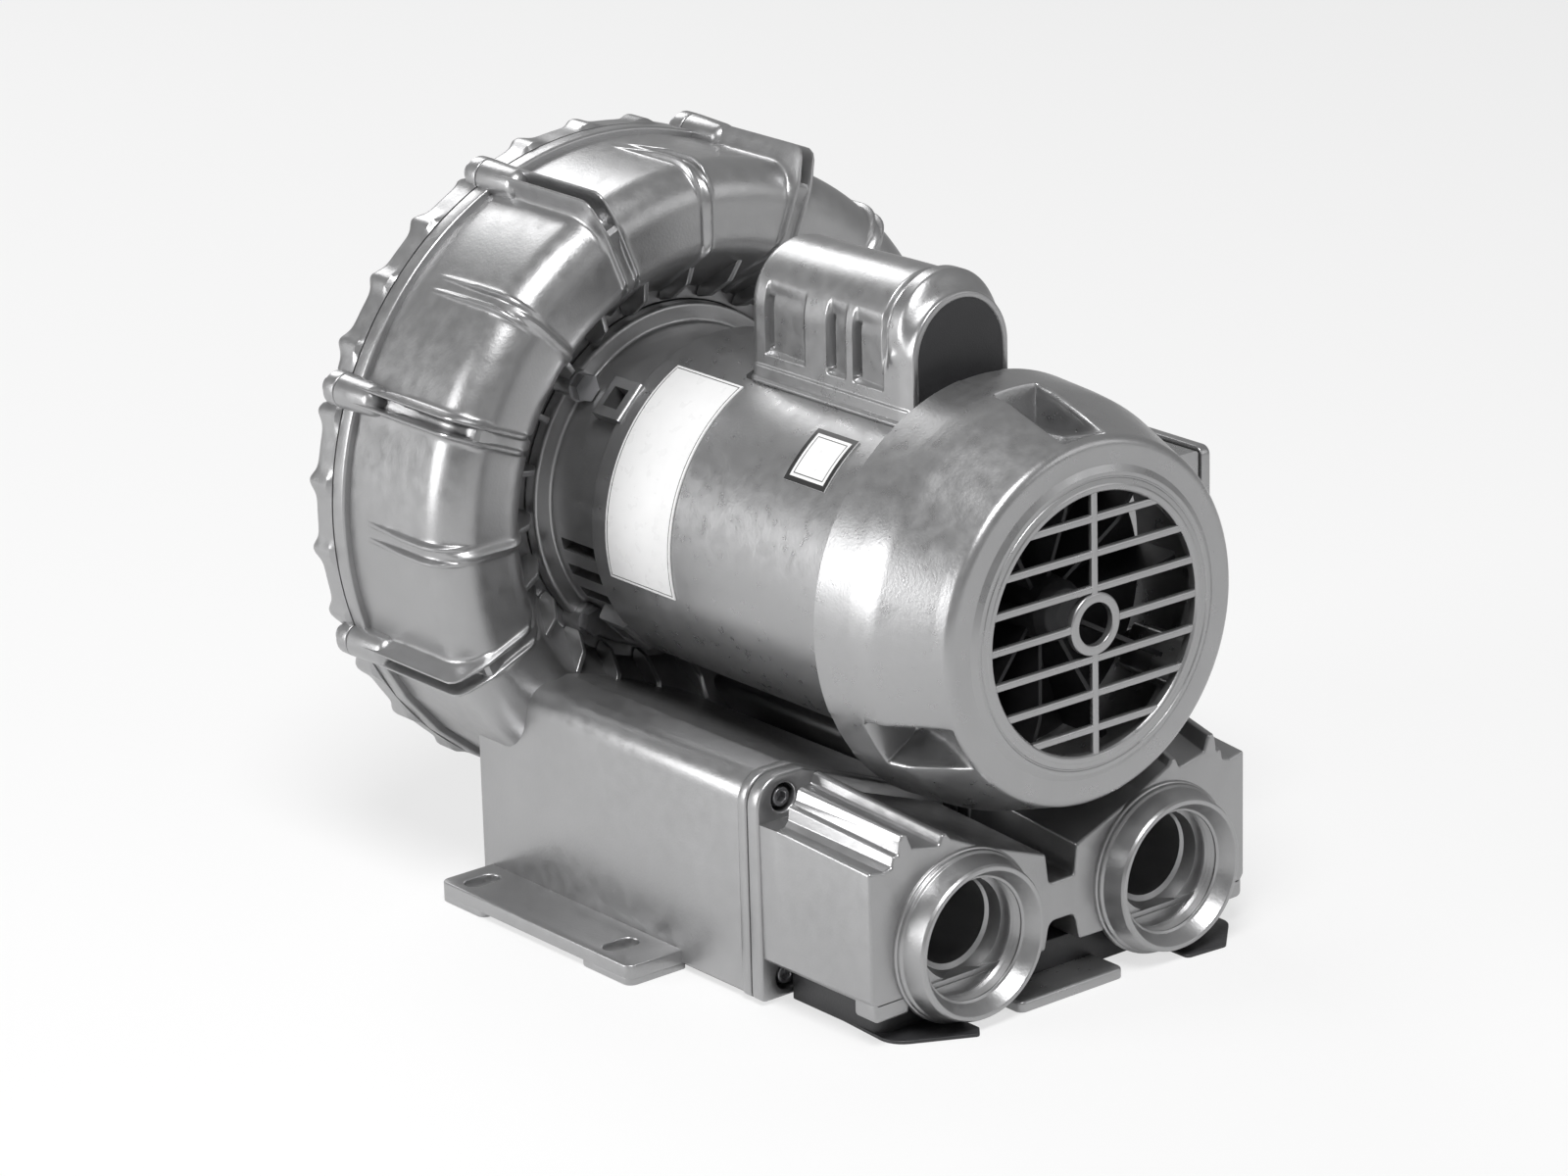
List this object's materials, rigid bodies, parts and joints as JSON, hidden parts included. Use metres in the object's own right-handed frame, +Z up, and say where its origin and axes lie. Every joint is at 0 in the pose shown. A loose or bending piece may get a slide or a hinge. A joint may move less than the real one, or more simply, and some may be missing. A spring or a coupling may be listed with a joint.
{
  "type": "side channel blower",
  "caption": "Side channel blower: ribbed casing with finned rear cover, coaxial capacitor motor with grilled fan cover, and a silencer base with two threaded ports and slotted feet.",
  "frame": {"origin": "centre of the four foot slots, on the base plane that the feet stand on", "axes": "+Z up; the motor axis runs along Y, with the cooling fan and the two ports at -Y and the blower casing at +Y; the terminal box is at +X"},
  "size_m": [0.3439, 0.401, 0.3615],
  "materials": {
    "cast_paint": "satin",
    "sheet_paint": "satin",
    "steel": "satin",
    "fasteners": "satin",
    "laminations": "matte",
    "winding": "satin",
    "bare_aluminium": "satin",
    "black_plastic": "matte",
    "black_paint": "matte",
    "gasket_rubber": "matte",
    "foam": "matte",
    "plate": "gloss"
  },
  "bodies": {
    "blower": {"badge_plate": "plate", "base_cover": "black_paint", "base_cover_screws": "fasteners", "capacitor": "bare_aluminium", "capacitor_clip": "steel", "capacitor_cover": "sheet_paint", "capacitor_end_plug": "black_plastic", "capacitor_gasket": "gasket_rubber", "casing_screws": "fasteners", "casing_seal": "gasket_rubber", "drive_bearing_outer": "steel", "drive_end_bell": "cast_paint", "fan_cover": "sheet_paint", "fan_cover_screws": "fasteners", "flange_screws": "fasteners", "front_foot": "sheet_paint", "front_housing": "cast_paint", "front_tray": "black_paint", "inlet_foam": "foam", "inlet_tube": "steel", "manifold_gasket": "gasket_rubber", "manifold_screws": "fasteners", "motor_frame": "sheet_paint", "nameplate": "plate", "outlet_foam": "foam", "outlet_tube": "steel", "port_manifold": "cast_paint", "rear_cover": "cast_paint", "shaft_seal": "gasket_rubber", "stator_core": "laminations", "stator_windings": "winding", "tail_bearing_outer": "steel", "tail_end_bell": "cast_paint", "terminal_block": "black_plastic", "terminal_box": "sheet_paint", "terminal_gasket": "gasket_rubber", "terminal_lid": "sheet_paint", "terminal_screws": "fasteners", "through_bolts": "fasteners", "tray_screws": "fasteners", "wave_spring": "steel"},
    "rotor": {"motor_shaft": "steel", "rotor_core": "laminations", "impeller": "bare_aluminium", "impeller_key": "steel", "impeller_washer": "steel", "impeller_screw": "fasteners", "cooling_fan": "black_plastic", "fan_clip": "steel", "drive_bearing_inner": "steel", "drive_bearing_balls": "steel", "tail_bearing_inner": "steel", "tail_bearing_balls": "steel"}
  },
  "joints": [
    {"name": "rotor_spin", "type": "hinge", "parent": "blower", "child": "rotor", "pos_m": [0, 0, 0.1905], "axis": [0, 1, 0], "continuous": true}
  ]
}
